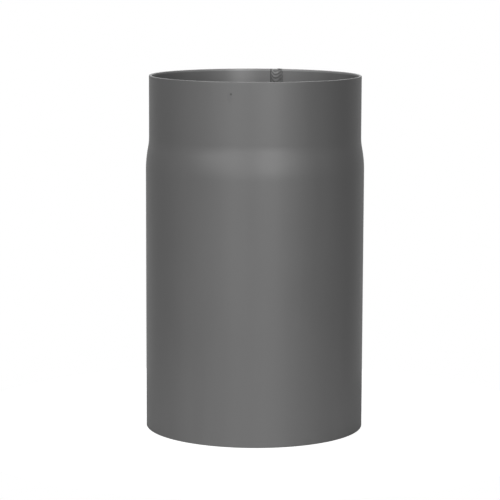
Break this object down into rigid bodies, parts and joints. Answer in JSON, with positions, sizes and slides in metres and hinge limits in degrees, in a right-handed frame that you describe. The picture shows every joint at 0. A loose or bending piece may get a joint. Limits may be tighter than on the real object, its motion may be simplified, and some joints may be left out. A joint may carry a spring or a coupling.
{
  "type": "chimney flue pipe",
  "caption": "Straight round stove flue pipe of welded sheet steel, painted matt grey, with a wide open end that takes the next pipe and a drawn-in spigot at the other end.",
  "frame": {"origin": "centre of the wide end's rim plane, on the pipe's axis, where it stands", "axes": "+Z along the pipe's axis, up towards the spigot; -Y is the side that faces the picture; the welded seam lies 77.4 degrees from +X towards +Y"},
  "size_m": [0.154, 0.154, 0.25],
  "materials": {
    "flue_paint": "matt cast-grey heat-resistant paint on steel, with a fine even grain, inside and out"
  },
  "bodies": {
    "root": {"flue_pipe": "flue_paint"}
  },
  "joints": []
}
